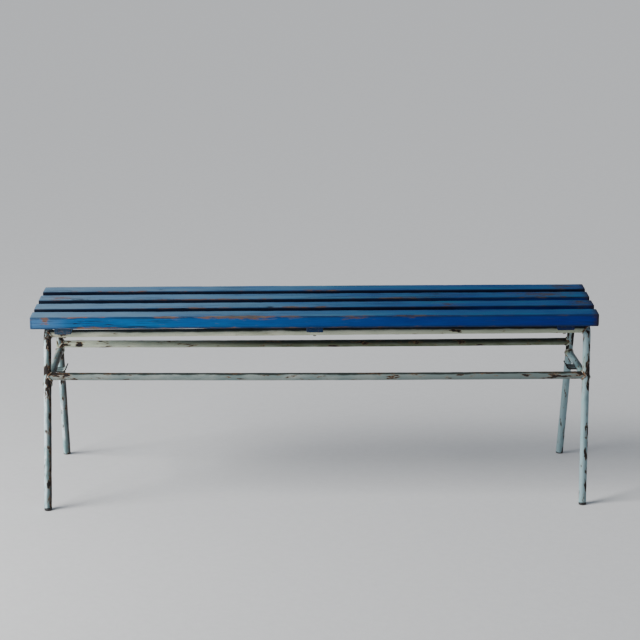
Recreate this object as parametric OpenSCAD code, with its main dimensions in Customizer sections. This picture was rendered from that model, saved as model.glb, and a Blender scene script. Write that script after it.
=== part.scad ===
// Backless slatted bench: a wooden slat seat on a welded frame of round steel tube.
// X runs along the seat, Y from front to rear, Z up.
// The origin is on the floor under the middle of the seat.

/* [Seat] */
// Length of the slats
seat_length = 1300; // [900:10:1800]
// Depth of the seat over all four slats
seat_depth = 288; // [270:1:340]
// Height of the top of the slats above the floor
seat_height = 445; // [430:1:480]
// Width of one slat
slat_w = 50; // [40:1:60]
// Thickness of one slat
slat_t = 30; // [22:1:30]
// Rounding along a slat's long edges
slat_edge_r = 3; // [1:0.5:6]
// Rounding of a slat's corners seen from above
slat_corner_r = 5; // [2:0.5:10]

/* [Cleats] */
// Width of one cleat
cleat_w = 40; // [34:1:60]
// How far a cleat stops short of the front and rear edges of the seat
cleat_inset = 14; // [10:1:20]
// Distance of the two end cleats from the middle of the seat
cleat_x = 577; // [380:1:580]
// Depth of the notches that let a cleat down over the top rails
cleat_notch = 4; // [2:0.5:5]

/* [Frame] */
// Outer diameter of every tube
tube_d = 18; // [16:0.5:22]
// Wall thickness of every tube
tube_wall = 1.5; // [1:0.1:2.5]
// Bend radius of a hoop, on the tube's centre line
bend_r = 28; // [26:1:40]
// Depth between the two bends of a hoop, measured at its sharp corners
hoop_top_w = 208; // [200:1:220]
// Left hoop: distance from the middle of the seat to its feet
left_hoop_x = 618.5; // [600:0.5:640]
// Left hoop: height of the cross tube's centre line
left_hoop_h = 400; // [395:1:402]
// Left hoop: distance between its front and rear feet
left_spread = 402; // [340:1:440]
// Left hoop: lean out of plumb, towards +X, in degrees
left_lean = 0.35; // [-1.8:0.05:1.8]
// Left hoop: turn about the upright that brings its front leg towards +X, in degrees
left_turn = 0.4; // [-1.5:0.1:1.5]
// Right hoop: distance from the middle of the seat to its feet
right_hoop_x = 614.5; // [600:0.5:640]
// Right hoop: height of the cross tube's centre line
right_hoop_h = 404; // [395:1:405]
// Right hoop: distance between its front and rear feet
right_spread = 370; // [340:1:440]
// Right hoop: lean out of plumb, towards +X, in degrees
right_lean = 1.65; // [-1.8:0.05:1.8]
// Right hoop: turn about the upright that brings its front leg towards +X, in degrees
right_turn = 1.2; // [-1.5:0.1:1.5]

/* [Lower rails and struts] */
// Height of the front lower rail at the left hoop
front_rail_left_z = 300; // [290:1:330]
// Height of the front lower rail at the right hoop
front_rail_right_z = 295; // [290:1:330]
// Height of the rear lower rail
rear_rail_z = 306; // [290:1:330]
// Height of the left strut at the front leg
left_strut_front_z = 282; // [270:1:292]
// Height of the left strut at the rear leg
left_strut_rear_z = 291; // [270:1:292]
// Height of the right strut at the front leg
right_strut_front_z = 290; // [270:1:292]
// Height of the right strut at the rear leg
right_strut_rear_z = 277; // [270:1:292]

/* [Hooks] */
// Width of a hook's strip, along the strut
hook_w = 40; // [20:1:60]
// Thickness of the strip
hook_t = 3; // [2:0.5:4]
// Length of the flat part that reaches in from the strut
hook_reach = 14; // [8:1:30]
// Radius of the curl, on the strip's upper face
hook_r = 8; // [5:1:15]
// Angle of the curl
hook_turn = 62; // [45:1:85]
// Straight lip beyond the curl
hook_lip = 6; // [4:1:20]
// Distance of the strip's middle in front of the strut's middle
hook_forward = 30; // [0:1:50]

/* [Feet] */
// Height of a foot plug's head below the end of the tube
foot_h = 5; // [3:0.5:8]
// Length of the stem inside the tube
foot_stem = 18; // [10:1:30]

/* [Fixings] */
// Shank diameter of every wood screw
screw_d = 4.2; // [3:0.1:5]
// Head diameter of every wood screw
screw_head_d = 8; // [7:0.1:9]
// Height of a screw's head
screw_head_h = 2.6; // [2:0.1:3]
// Length of a slat screw under its head
slat_screw_l = 30; // [24:1:32]
// Distance of the slat screws from the middle of a cleat
slat_screw_x = 10; // [8:1:12]
// Length of a frame screw under its head
frame_screw_l = 45; // [40:1:48]
// Width of a weld bead on the tube it runs around
bead_w = 3; // [2:0.5:5]

/* [Hidden] */
$fn = 48;
fit = 0.1;
tube_r = tube_d / 2;
bore_r = tube_r - tube_wall;
slat_count = 4;
slat_pitch = (seat_depth - slat_w) / (slat_count - 1);
seat_under = seat_height - slat_t;
corner_y = hoop_top_w / 2;
// A bend's wall is a hair thicker than a straight's, and each straight runs a little way into it
bend_skin = 0.05;
bend_lap = 1;
notch_gap = 1;

// One hoop as a list: X of its feet line, height, foot spread, lean, turn, and its strut's front and
// rear heights
left_hoop_dims = [
    -left_hoop_x, left_hoop_h, left_spread, left_lean, left_turn, left_strut_front_z, left_strut_rear_z
];
right_hoop_dims = [
    right_hoop_x, right_hoop_h, right_spread, right_lean, right_turn, right_strut_front_z, right_strut_rear_z
];
function foot_x(dims) = dims[0];
function top_z(dims) = dims[1];
function spread(dims) = dims[2];
function lean(dims) = dims[3];
function turn(dims) = dims[4];
function strut_front_z(dims) = dims[5];
function strut_rear_z(dims) = dims[6];

// Rake of a hoop's legs from the upright, and the straight length its bend takes from each side
function rake(dims) = atan((spread(dims) / 2 - corner_y) / top_z(dims));
function bend_angle(dims) = 90 - rake(dims);
function bend_run(dims) = bend_r * tan(bend_angle(dims) / 2);
function leg_length(dims) = top_z(dims) / cos(rake(dims));

// Depth of a leg's centre line at a height, and the middle of a bend
function leg_y(dims, z) = spread(dims) / 2 - z * tan(rake(dims));
function bend_mid_y(dims) =
    corner_y - bend_run(dims) + bend_r * cos(90 - bend_angle(dims) / 2);
function bend_mid_z(dims) =
    top_z(dims) - bend_r + bend_r * sin(90 - bend_angle(dims) / 2);

// Where a point of the upright hoop at depth y and height z stands once the hoop is leaned and turned
function hoop_point(dims, y, z) = [
    foot_x(dims) + z * tan(lean(dims)) * cos(turn(dims)) - y * sin(turn(dims)),
    z * tan(lean(dims)) * sin(turn(dims)) + y * cos(turn(dims)),
    z
];

// Ends of a strut on the centre lines of its hoop's legs, in the hoop's own upright frame
function strut_ends(dims) = [
    [0, -leg_y(dims, strut_front_z(dims)), strut_front_z(dims)],
    [0, leg_y(dims, strut_rear_z(dims)), strut_rear_z(dims)]
];

function slat_y(i) = -seat_depth / 2 + slat_w / 2 + i * slat_pitch;

// Ends of each rail: [left point, right point]
function rail_end(dims, side, z) = hoop_point(dims, side * leg_y(dims, z), z);
function top_rail_end(dims, side) = hoop_point(dims, side * bend_mid_y(dims), bend_mid_z(dims));
function top_rail(side) = [top_rail_end(left_hoop_dims, side), top_rail_end(right_hoop_dims, side)];
front_lower_ends = [
    rail_end(left_hoop_dims, -1, front_rail_left_z),
    rail_end(right_hoop_dims, -1, front_rail_right_z)
];
rear_lower_ends = [
    rail_end(left_hoop_dims, 1, rear_rail_z),
    rail_end(right_hoop_dims, 1, rear_rail_z)
];

// Depth and height of a top rail's centre line at an X, the level at which a cleat rests on the rails,
// and the cleat's underside
function share_at(ends, x) = (x - ends[0][0]) / (ends[1][0] - ends[0][0]);
function rail_y(side, x) =
    top_rail(side)[0][1] + share_at(top_rail(side), x) * (top_rail(side)[1][1] - top_rail(side)[0][1]);
function rail_z(side, x) =
    top_rail(side)[0][2] + share_at(top_rail(side), x) * (top_rail(side)[1][2] - top_rail(side)[0][2]);
function cleat_rest(x) = max(rail_z(-1, x + cleat_w / 2), rail_z(1, x + cleat_w / 2)) + tube_r + fit;
function cleat_base(x) = cleat_rest(x) - cleat_notch;

// Outline of a hook's strip, reaching along +X from the strut: flat part, curl and straight lip
curl_steps = 10;
curl_angles = [for (i = [0 : curl_steps]) i * hook_turn / curl_steps];
function curl_point(r, angle) =
    [hook_reach + r * sin(angle), hook_t + hook_r - r * cos(angle)];
function lip_end(r) = curl_point(r, hook_turn) + hook_lip * [cos(hook_turn), sin(hook_turn)];
hook_outline = concat(
    [[0, 0]],
    [for (a = curl_angles) curl_point(hook_r + hook_t, a)],
    [lip_end(hook_r + hook_t), lip_end(hook_r)],
    [for (i = [curl_steps : -1 : 0]) curl_point(hook_r, curl_angles[i])],
    [[0, hook_t]]
);

slat_blue = [0.06, 0.30, 0.56];
cleat_blue = [0.10, 0.28, 0.50];
leg_blue = [0.68, 0.80, 0.83];
rail_green = [0.66, 0.70, 0.62];
steel = [0.42, 0.40, 0.38];
plug_black = [0.06, 0.06, 0.06];

// ---- Tube shapes ----

// Turns a shape drawn in XY so that its X runs along the bench's depth and its Y runs up
module upright() {
    rotate([90, 0, 90]) children();
}

// Stands a hoop's parts on its feet line, leaned and turned
module at_hoop(dims) {
    translate([foot_x(dims), 0, 0]) rotate([0, lean(dims), turn(dims)]) children();
}

// A round bar of radius r from point a to point b
module bar_between(a, b, r) {
    d = b - a;
    translate(a)
        rotate([0, acos(d[2] / norm(d)), atan2(d[1], d[0])])
        cylinder(r = r, h = norm(d));
}

// Mirrors a hoop's +Y half to the side asked for
module on_side(side) {
    mirror([0, side < 0 ? 1 : 0, 0]) children();
}

// The straight of one leg, of outer radius r and bore radius hole (0 for a solid bar).
// start is where the leg begins, measured up the leg from the floor.
module leg_straight(dims, r, hole, start) {
    length = leg_length(dims) - bend_run(dims) - start + bend_lap;
    upright()
        translate([spread(dims) / 2, 0, 0])
        rotate([0, 0, rake(dims)])
        rotate([-90, 0, 0])
        translate([0, 0, start])
        difference() {
            cylinder(r = r, h = length);
            if (hole > 0) translate([0, 0, -1]) cylinder(r = hole, h = length + 2);
        }
}

// One bend, of outer radius r and bore radius hole (0 for a solid bar)
module leg_bend(dims, r, hole) {
    upright()
        translate([corner_y - bend_run(dims), top_z(dims) - bend_r, 0])
        rotate([0, 0, rake(dims)])
        rotate_extrude(angle = bend_angle(dims))
        translate([bend_r, 0])
        difference() {
            circle(r = r + bend_skin);
            if (hole > 0) circle(r = hole - bend_skin);
        }
}

// The straight of a hoop's cross tube
module cross_tube(dims, r, hole) {
    length = 2 * (corner_y - bend_run(dims) + bend_lap);
    translate([0, -length / 2, top_z(dims)])
        rotate([-90, 0, 0])
        difference() {
            cylinder(r = r, h = length);
            if (hole > 0) translate([0, 0, -1]) cylinder(r = hole, h = length + 2);
        }
}

// Room that one leg or one bend takes, with a little clearance, for coping what meets it
module leg_room(dims, side) {
    at_hoop(dims) on_side(side) leg_straight(dims, tube_r + fit, 0, 0);
}

module bend_room(dims, side) {
    at_hoop(dims) on_side(side) leg_bend(dims, tube_r + fit, 0);
}

// ---- Frame ----

module hoop(dims) {
    color(leg_blue)
        at_hoop(dims) {
            for (side = [-1, 1])
                on_side(side) {
                    leg_straight(dims, tube_r, bore_r, foot_h);
                    leg_bend(dims, tube_r, bore_r);
                }
            cross_tube(dims, tube_r, bore_r);
        }
}

// A tube between two points
module tube_between(ends) {
    difference() {
        bar_between(ends[0], ends[1], tube_r);
        bar_between(ends[0], ends[1], bore_r);
    }
}

// A top rail, drilled for the screws that hold the cleats
module drilled_rail(side) {
    color(rail_green)
        difference() {
            tube_between(top_rail(side));
            bend_room(left_hoop_dims, side);
            bend_room(right_hoop_dims, side);
            for (x = [-cleat_x, 0, cleat_x])
                translate([x, rail_y(side, x), rail_z(side, x) - tube_d])
                    cylinder(d = screw_d + 2 * fit, h = 2 * tube_d);
        }
}

// A lower rail, coped to the legs at both ends
module lower_rail(ends, side) {
    color(rail_green)
        difference() {
            tube_between(ends);
            leg_room(left_hoop_dims, side);
            leg_room(right_hoop_dims, side);
        }
}

// The solid bar that a strut is made from, of radius r
module strut_bar(dims, r) {
    bar_between(strut_ends(dims)[0], strut_ends(dims)[1], r);
}

module strut(dims) {
    color(leg_blue)
        at_hoop(dims)
        difference() {
            tube_between(strut_ends(dims));
            for (side = [-1, 1])
                on_side(side) leg_straight(dims, tube_r + fit, 0, 0);
        }
}

// A hook, welded by its end to the inner side of its strut; side is -1 on the left, 1 on the right
module hook(dims, side) {
    ends = strut_ends(dims);
    share = (-hook_forward - ends[0][1]) / (ends[1][1] - ends[0][1]);
    z = ends[0][2] + share * (ends[1][2] - ends[0][2]);
    color(leg_blue)
        translate(hoop_point(dims, -hook_forward, z))
        rotate([0, 0, turn(dims)])
        mirror([side > 0 ? 1 : 0, 0, 0])
        translate([tube_r + 2 * fit, hook_w / 2, 0])
        rotate([90, 0, 0])
        linear_extrude(hook_w)
        polygon(hook_outline);
}

// ---- Welds ----

// Collar around the end of the tube that starts at a and runs towards b, cut away by its children
module bead(a, b) {
    direction = (b - a) / norm(b - a);
    difference() {
        bar_between(a + direction * tube_r / 2, a + direction * (tube_r + bead_w), tube_r + bead_w);
        bar_between(a, a + direction * (tube_d + bead_w), tube_r + fit);
        children();
    }
}

// What the bead of a lower rail is cut away by at one hoop: the leg and the strut
module lower_bead_room(dims, side) {
    leg_room(dims, side);
    at_hoop(dims) strut_bar(dims, tube_r + fit);
}

module rail_welds() {
    color(steel) {
        bead(front_lower_ends[0], front_lower_ends[1]) lower_bead_room(left_hoop_dims, -1);
        bead(front_lower_ends[1], front_lower_ends[0]) lower_bead_room(right_hoop_dims, -1);
        bead(rear_lower_ends[0], rear_lower_ends[1]) lower_bead_room(left_hoop_dims, 1);
        bead(rear_lower_ends[1], rear_lower_ends[0]) lower_bead_room(right_hoop_dims, 1);
        for (side = [-1, 1]) {
            bead(top_rail(side)[0], top_rail(side)[1]) bend_room(left_hoop_dims, side);
            bead(top_rail(side)[1], top_rail(side)[0]) bend_room(right_hoop_dims, side);
        }
    }
}

// Beads of one strut, clear of the beads of the lower rails
module strut_bead(dims, end) {
    rail_ends = end == 0 ? front_lower_ends : rear_lower_ends;
    difference() {
        at_hoop(dims)
            bead(strut_ends(dims)[end], strut_ends(dims)[1 - end])
            on_side(end == 0 ? -1 : 1)
            leg_straight(dims, tube_r + fit, 0, 0);
        bar_between(rail_ends[0], rail_ends[1], tube_r + bead_w + fit);
    }
}

module strut_welds() {
    color(steel)
        for (dims = [left_hoop_dims, right_hoop_dims])
            for (end = [0, 1])
                strut_bead(dims, end);
}

// ---- Feet ----

// Plug in the end of a leg: a head as wide as the tube, worn flat on the floor, and a stem
module foot(dims, side) {
    color(plug_black)
        intersection() {
            at_hoop(dims)
                on_side(side)
                upright()
                translate([spread(dims) / 2, 0, 0])
                rotate([0, 0, rake(dims)])
                rotate([-90, 0, 0]) {
                    translate([0, 0, -tube_r]) cylinder(r = tube_r, h = tube_r + foot_h - fit);
                    cylinder(r = bore_r - fit, h = foot_h + foot_stem);
                }
            translate([-seat_length, -seat_length, 0]) cube(2 * seat_length);
        }
}

// ---- Seat ----

// Screw shank hole, or the shank itself, standing up from the origin
module shank(length, extra) {
    cylinder(d = screw_d + 2 * extra, h = length + extra);
}

module screw(length) {
    translate([0, 0, -screw_head_h]) cylinder(d = screw_head_d, h = screw_head_h);
    shank(length, 0);
}

// Places a child under every slat at the cleat at x
module at_slat_screws(x) {
    for (i = [0 : slat_count - 1])
        for (side = [-1, 1])
            translate([x + side * slat_screw_x, slat_y(i), cleat_base(x)])
                children();
}

// Places a child under both top rails at the cleat at x
module at_frame_screws(x) {
    for (side = [-1, 1])
        translate([x, rail_y(side, x), rail_z(side, x) - tube_r - fit])
            children();
}

// Every hole that the screws make in the wood
module wood_holes() {
    for (x = [-cleat_x, 0, cleat_x]) {
        at_slat_screws(x) shank(slat_screw_l, fit);
        at_frame_screws(x) shank(frame_screw_l, fit);
    }
}

// Rounded rectangle of size w by h, centred, with corner radius r
module rounded(w, h, r) {
    square([w - 2 * r, h], center = true);
    square([w, h - 2 * r], center = true);
    for (x = [-1, 1])
        for (y = [-1, 1])
            translate([x * (w / 2 - r), y * (h / 2 - r)]) circle(r = r);
}

module slat(i) {
    color(slat_blue)
        difference() {
            translate([0, slat_y(i), seat_under + slat_t / 2])
                intersection() {
                    rotate([90, 0, 90])
                        linear_extrude(seat_length, center = true)
                        rounded(slat_w, slat_t, slat_edge_r);
                    linear_extrude(2 * slat_t, center = true)
                        rounded(seat_length, slat_w, slat_corner_r);
                }
            wood_holes();
        }
}

module cleat(x) {
    color(cleat_blue)
        difference() {
            translate([x - cleat_w / 2, -seat_depth / 2 + cleat_inset, cleat_base(x)])
                cube([cleat_w, seat_depth - 2 * cleat_inset, seat_under - cleat_base(x)]);
            for (side = [-1, 1])
                translate([x - cleat_w, rail_y(side, x) - tube_r - notch_gap, cleat_base(x) - cleat_notch])
                    cube([2 * cleat_w, tube_d + 2 * notch_gap, 2 * cleat_notch]);
            wood_holes();
        }
}

module slat_screws() {
    color(steel)
        for (x = [-cleat_x, 0, cleat_x])
            at_slat_screws(x) screw(slat_screw_l);
}

module frame_screws() {
    color(steel)
        for (x = [-cleat_x, 0, cleat_x])
            at_frame_screws(x) screw(frame_screw_l);
}

slat(0);  // front_slat
slat(1);  // mid_front_slat
slat(2);  // mid_rear_slat
slat(3);  // rear_slat
cleat(-cleat_x);  // left_cleat
cleat(0);  // middle_cleat
cleat(cleat_x);  // right_cleat
hoop(left_hoop_dims);  // left_hoop
hoop(right_hoop_dims);  // right_hoop
drilled_rail(-1);  // front_top_rail
drilled_rail(1);  // rear_top_rail
lower_rail(front_lower_ends, -1);  // front_lower_rail
lower_rail(rear_lower_ends, 1);  // rear_lower_rail
strut(left_hoop_dims);  // left_strut
strut(right_hoop_dims);  // right_strut
hook(left_hoop_dims, -1);  // left_hook
hook(right_hoop_dims, 1);  // right_hook
foot(left_hoop_dims, -1);  // left_front_foot
foot(left_hoop_dims, 1);  // left_rear_foot
foot(right_hoop_dims, -1);  // right_front_foot
foot(right_hoop_dims, 1);  // right_rear_foot
slat_screws();
frame_screws();
rail_welds();
strut_welds();
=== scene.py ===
import math
import bpy
from mathutils import Matrix, Vector


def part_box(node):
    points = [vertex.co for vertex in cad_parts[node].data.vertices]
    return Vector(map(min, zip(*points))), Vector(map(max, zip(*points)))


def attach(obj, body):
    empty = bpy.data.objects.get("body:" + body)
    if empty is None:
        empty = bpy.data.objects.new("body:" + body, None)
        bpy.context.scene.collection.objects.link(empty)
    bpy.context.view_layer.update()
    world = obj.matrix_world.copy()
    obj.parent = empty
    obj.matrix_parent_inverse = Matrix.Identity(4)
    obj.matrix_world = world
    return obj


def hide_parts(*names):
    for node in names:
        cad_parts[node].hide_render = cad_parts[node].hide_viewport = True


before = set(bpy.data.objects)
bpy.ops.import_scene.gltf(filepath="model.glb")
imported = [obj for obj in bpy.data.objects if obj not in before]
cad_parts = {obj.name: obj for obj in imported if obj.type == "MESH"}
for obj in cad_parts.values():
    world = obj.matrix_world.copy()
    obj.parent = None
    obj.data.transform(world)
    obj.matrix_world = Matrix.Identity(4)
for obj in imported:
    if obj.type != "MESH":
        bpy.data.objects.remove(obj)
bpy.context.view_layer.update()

# ----------------------------------------
# Camera. It stands in front of the bench, a little above it, and looks slightly down
# along the seat with a long lens.
view_place = Vector((-0.01295, -4.52401, 1.60976))
view_pitch, view_yaw, view_roll = 0.262063, 0.0057516, -0.00436656
forward = Vector((math.sin(view_yaw) * math.cos(view_pitch),
                  math.cos(view_yaw) * math.cos(view_pitch), -math.sin(view_pitch)))
level = Vector((math.cos(view_yaw), -math.sin(view_yaw), 0))
upright = level.cross(forward)
across = math.cos(view_roll) * level + math.sin(view_roll) * upright
above = -math.sin(view_roll) * level + math.cos(view_roll) * upright


def in_scene(name, data):
    """Adds an object to the scene."""
    item = bpy.data.objects.new(name, data)
    bpy.context.scene.collection.objects.link(item)
    return item


lens = bpy.data.cameras.new("camera")
lens.lens = 111.85
lens.sensor_width = 36
camera = in_scene("camera", lens)
camera.matrix_world = Matrix.Translation(view_place) @ Matrix((across, above, -forward)).transposed().to_4x4()
bpy.context.scene.camera = camera

# ----------------------------------------
# Slats. Four planed softwood boards, each screwed up from below through the cleats. Old blue
# gloss paint, chalky on top and rubbed to primer and grey wood along the arrises.
slat_length, slat_end_r, slat_edge_r = 1.2998, 0.0026, 0.0028
# Left and right colours: partly sun fading, partly painted light that falls off from the left end to the
# right
slat_right, slat_left = (0.0, 0.012, 0.17), (0.0, 0.115, 0.34)
deep_right, deep_left = (0.0, 0.022, 0.185), (0.002, 0.14, 0.37)
# The chalk colours on the tops are partly chalk and partly a painted sheen
chalk_and_sheen_right, chalk_and_sheen_left = (0.010, 0.135, 0.24), (0.15, 0.26, 0.38)
smear_right, smear_left = (0.05, 0.05, 0.075), (0.20, 0.19, 0.21)
primer_dark, primer_pink = (0.045, 0.030, 0.032), (0.27, 0.115, 0.080)
bare_wood, pale_wood = (0.080, 0.068, 0.060), (0.26, 0.20, 0.155)
# The arris line colour is painted shade along the arrises
# The gap colour is painted shade between the slats
crack_dark, gap_shade_dark, arris_shade_dark = (0.008, 0.008, 0.012), (0.0, 0.0012, 0.010), (0.010, 0.022, 0.045)
end_stain, grain_dark = (0.020, 0.008, 0.007), (0.0, 0.02, 0.06)
gap_side_depth, gap_side_reach, skin = 0.0028, 0.004, 0.0004


def put(tree, kind, inputs=None, **settings):
    """Adds one node, links or fills its inputs, and gives its outputs."""
    made = tree.nodes.new(kind)
    for name, value in settings.items():
        setattr(made, name, value)
    for key, value in (inputs or {}).items():
        if isinstance(value, bpy.types.NodeSocket):
            tree.links.new(value, made.inputs[key])
        else:
            made.inputs[key].default_value = value
    return made.outputs


def geo(tree, kind, inputs=None, **settings):
    """Adds one geometry node and gives its first output."""
    return put(tree, "GeometryNode" + kind, inputs, **settings)[0]


def maths(tree, operation, *values):
    return put(tree, "ShaderNodeMath", dict(enumerate(values)), operation=operation)[0]


def plus(tree, *values):
    return maths(tree, "ADD", *values)


def less(tree, *values):
    return maths(tree, "SUBTRACT", *values)


def times(tree, *values):
    return maths(tree, "MULTIPLY", *values)


def scaled(tree, *values):
    """The first value times the second, plus the third."""
    return maths(tree, "MULTIPLY_ADD", *values)


def larger(tree, *values):
    return maths(tree, "MAXIMUM", *values)


def smaller(tree, *values):
    return maths(tree, "MINIMUM", *values)


def split(tree, vector):
    return put(tree, "ShaderNodeSeparateXYZ", {0: vector})


def vector_of(tree, x=0.0, y=0.0, z=0.0):
    return put(tree, "ShaderNodeCombineXYZ", {0: x, 1: y, 2: z})[0]


def stored(tree, name):
    """A number that the mesh stores at its points."""
    return put(tree, "ShaderNodeAttribute", attribute_name=name)["Fac"]


def vector_sum(tree, operation, *values, scale=None):
    inputs = dict(enumerate(values))
    if scale is not None:
        inputs["Scale"] = scale
    made = put(tree, "ShaderNodeVectorMath", inputs, operation=operation)
    return made["Value"] if operation in ("DOT_PRODUCT", "LENGTH") else made["Vector"]


def step(tree, value, low, high, bottom=0.0, top=1.0):
    """Smooth step from bottom, where value is low, to top, where it is high."""
    return put(tree, "ShaderNodeMapRange", {0: value, 1: low, 2: high, 3: bottom, 4: top},
               interpolation_type="SMOOTHSTEP")[0]


def tint(tree, share, first, second):
    """Colour between two colours."""
    first, second = ((*colour, 1) if isinstance(colour, tuple) else colour for colour in (first, second))
    return put(tree, "ShaderNodeMix", {0: share, 6: first, 7: second}, data_type="RGBA")[2]


def cloud(tree, where, stretch, shift=0.0, detail=4.0, rough=0.55):
    """Noise from 0 to 1, with its own repeats per metre along each axis."""
    spot = vector_sum(tree, "MULTIPLY", where, stretch)
    spot = vector_sum(tree, "ADD", spot, (shift, 3.1 * shift, 1.7 * shift))
    return put(tree, "ShaderNodeTexNoise", {"Vector": spot, "Scale": 1.0, "Detail": detail,
                                            "Roughness": rough})[0]


def new_paint(name):
    """An empty material with the object's coordinates."""
    material = bpy.data.materials.new(name)
    material.use_nodes = True
    material.node_tree.nodes.clear()
    return material, material.node_tree, put(material.node_tree, "ShaderNodeTexCoord")["Object"]


def coated(tree, colour, roughness, height, **fixed):
    """Shader, bump from a height in metres, and the output."""
    bump = put(tree, "ShaderNodeBump", {"Strength": 1.0, "Distance": 1.0, "Height": height})[0]
    shader = put(tree, "ShaderNodeBsdfPrincipled",
                 {"Base Color": colour, "Roughness": roughness, "Normal": bump, **fixed})[0]
    put(tree, "ShaderNodeOutputMaterial", {"Surface": shader})


def weathered_blue(name, long_way, chalk_and_sheen, painted_side_light=0.0):
    """Worn blue gloss on wood whose grain runs along axis long_way. The last value paints light on the sides
    towards the left end.
    """
    def grain(along, over):
        return tuple(along if axis == long_way else over for axis in range(3))
    material, tree, where = new_paint(name)
    arris = stored(tree, "arris")
    x_place = split(tree, where)["X"]
    facing = split(tree, put(tree, "ShaderNodeNewGeometry")["Normal"])["Z"]
    top = step(tree, facing, 0.3, 0.9)
    streak = cloud(tree, where, grain(7, 210), 1.3, 6, 0.62)
    patch = cloud(tree, where, grain(5, 30), 4.7, 5, 0.6)
    hair = cloud(tree, where, grain(24, 900), 2.2, 3, 0.6)
    # Fading and painted light: the left end is paler, partly sun fading and partly painted light falling off
    # to the right; the tops are paler than the sides, partly chalk and partly a painted sheen, in long
    # streaks
    faded_and_lit = step(tree, x_place, 0.50, -0.66)
    blue = tint(tree, faded_and_lit, slat_right, slat_left)
    blue = tint(tree, step(tree, patch, 0.40, 0.68), blue, tint(tree, faded_and_lit, deep_right, deep_left))
    chalk_and_sheen_on_top = scaled(tree, faded_and_lit, 0.40, 0.34 + chalk_and_sheen)
    at_end = times(tree, step(tree, x_place, -0.50, -0.635), 0.46)
    uneven = scaled(tree, streak, 1.7, scaled(tree, patch, 1.5, -1.6))
    fade_and_light = scaled(tree, faded_and_lit, painted_side_light, scaled(tree, top, chalk_and_sheen_on_top, at_end))
    fade_and_light = scaled(tree, uneven, scaled(tree, top, 0.50, 0.10), fade_and_light)
    paint = tint(tree, step(tree, fade_and_light, 0.0, 1.0), blue, tint(tree, faded_and_lit, chalk_and_sheen_right, chalk_and_sheen_left))
    # Painted shade: a dark line along every arris, uneven in patches, where the rounded arris turns from the
    # light
    rim = step(tree, arris, 0.0042, 0.0004)
    dull = times(tree, step(tree, arris, 0.0070, 0.0025), step(tree, patch, 0.25, 0.50, 0.55, 1.0))
    dull = times(tree, dull, step(tree, facing, 0.97, 0.75))
    paint = tint(tree, times(tree, dull, 0.70), paint, arris_shade_dark)
    # Chips: paint gone to primer, and past it to bare wood, mostly along the arrises
    bite = cloud(tree, where, grain(30, 170), 7.9, 7, 0.66)
    torn = scaled(tree, rim, 0.085, scaled(tree, stored(tree, "worn"), 0.34, bite))
    chip = step(tree, torn, 0.70, 0.74)
    bare = step(tree, torn, 0.74, 0.80)
    smear = times(tree, step(tree, torn, 0.58, 0.72), 0.45)
    paint = tint(tree, smear, paint, tint(tree, faded_and_lit, smear_right, smear_left))
    wood = tint(tree, hair, bare_wood, tint(tree, faded_and_lit, bare_wood, pale_wood))
    primer = tint(tree, faded_and_lit, primer_dark, primer_pink)
    colour = tint(tree, chip, paint, tint(tree, bare, primer, wood))
    # Drying cracks along the grain, and knots
    line = maths(tree, "ABSOLUTE", less(tree, cloud(tree, where, grain(3, 330), 9.4, 2, 0.5), 0.5))
    cracked = step(tree, cloud(tree, where, grain(4, 26), 12.5, 2, 0.5), 0.50, 0.60)
    crack = times(tree, step(tree, line, 0.012, 0.003), cracked)
    knot_at = vector_sum(tree, "MULTIPLY", where, grain(7.5, 15))
    knot = put(tree, "ShaderNodeTexVoronoi", {"Vector": knot_at, "Scale": 1.0, "Randomness": 1.0})["Distance"]
    knot = step(tree, scaled(tree, hair, 0.06, knot), 0.115, 0.06)
    dark = larger(tree, crack, times(tree, knot, 0.8))
    colour = tint(tree, dark, colour, crack_dark)
    # A dark right end, darker grain, and painted shade on the sides in the gaps
    colour = tint(tree, times(tree, step(tree, x_place, 0.630, 0.6498), 0.75), colour, end_stain)
    colour = tint(tree, times(tree, step(tree, hair, 0.6, 0.35), 0.30), colour, grain_dark)
    colour = tint(tree, times(tree, stored(tree, "gap_shade"), 0.97), colour, gap_shade_dark)
    # Paint stands proud of a chip, and the raised grain shows through it
    height = scaled(tree, streak, 0.0011, times(tree, chip, -0.00035))
    height = scaled(tree, hair, 0.00022, height)
    height = scaled(tree, dark, -0.0007, height)
    gloss = scaled(tree, chip, 0.25, scaled(tree, fade_and_light, 0.12, 0.50))
    coated(tree, colour, scaled(tree, hair, 0.08, gloss), height, **{"Specular IOR Level": 0.13})
    return material


def shape_tree(name, sizes):
    """Empty geometry tree: a path in, named sizes in, a mesh out."""
    tree = bpy.data.node_groups.new(name, "GeometryNodeTree")
    tree.interface.new_socket("Path", in_out="INPUT", socket_type="NodeSocketGeometry")
    for size in sizes:
        kind = "NodeSocketMaterial" if size == "Material" else "NodeSocketFloat"
        kind = "NodeSocketInt" if size in ("Seed", "Sides") else kind
        tree.interface.new_socket(size, in_out="INPUT", socket_type=kind)
    tree.interface.new_socket("Mesh", in_out="OUTPUT", socket_type="NodeSocketGeometry")
    return tree, put(tree, "NodeGroupInput")


def close_tree(tree, geometry, given):
    """Ends a geometry tree."""
    solid = geo(tree, "RealizeInstances", {"Geometry": geometry})
    solid = geo(tree, "SetMaterial", {"Geometry": solid, "Material": given["Material"]})
    put(tree, "NodeGroupOutput", {0: solid})
    return tree


def position(tree):
    return geo(tree, "InputPosition")


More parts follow.
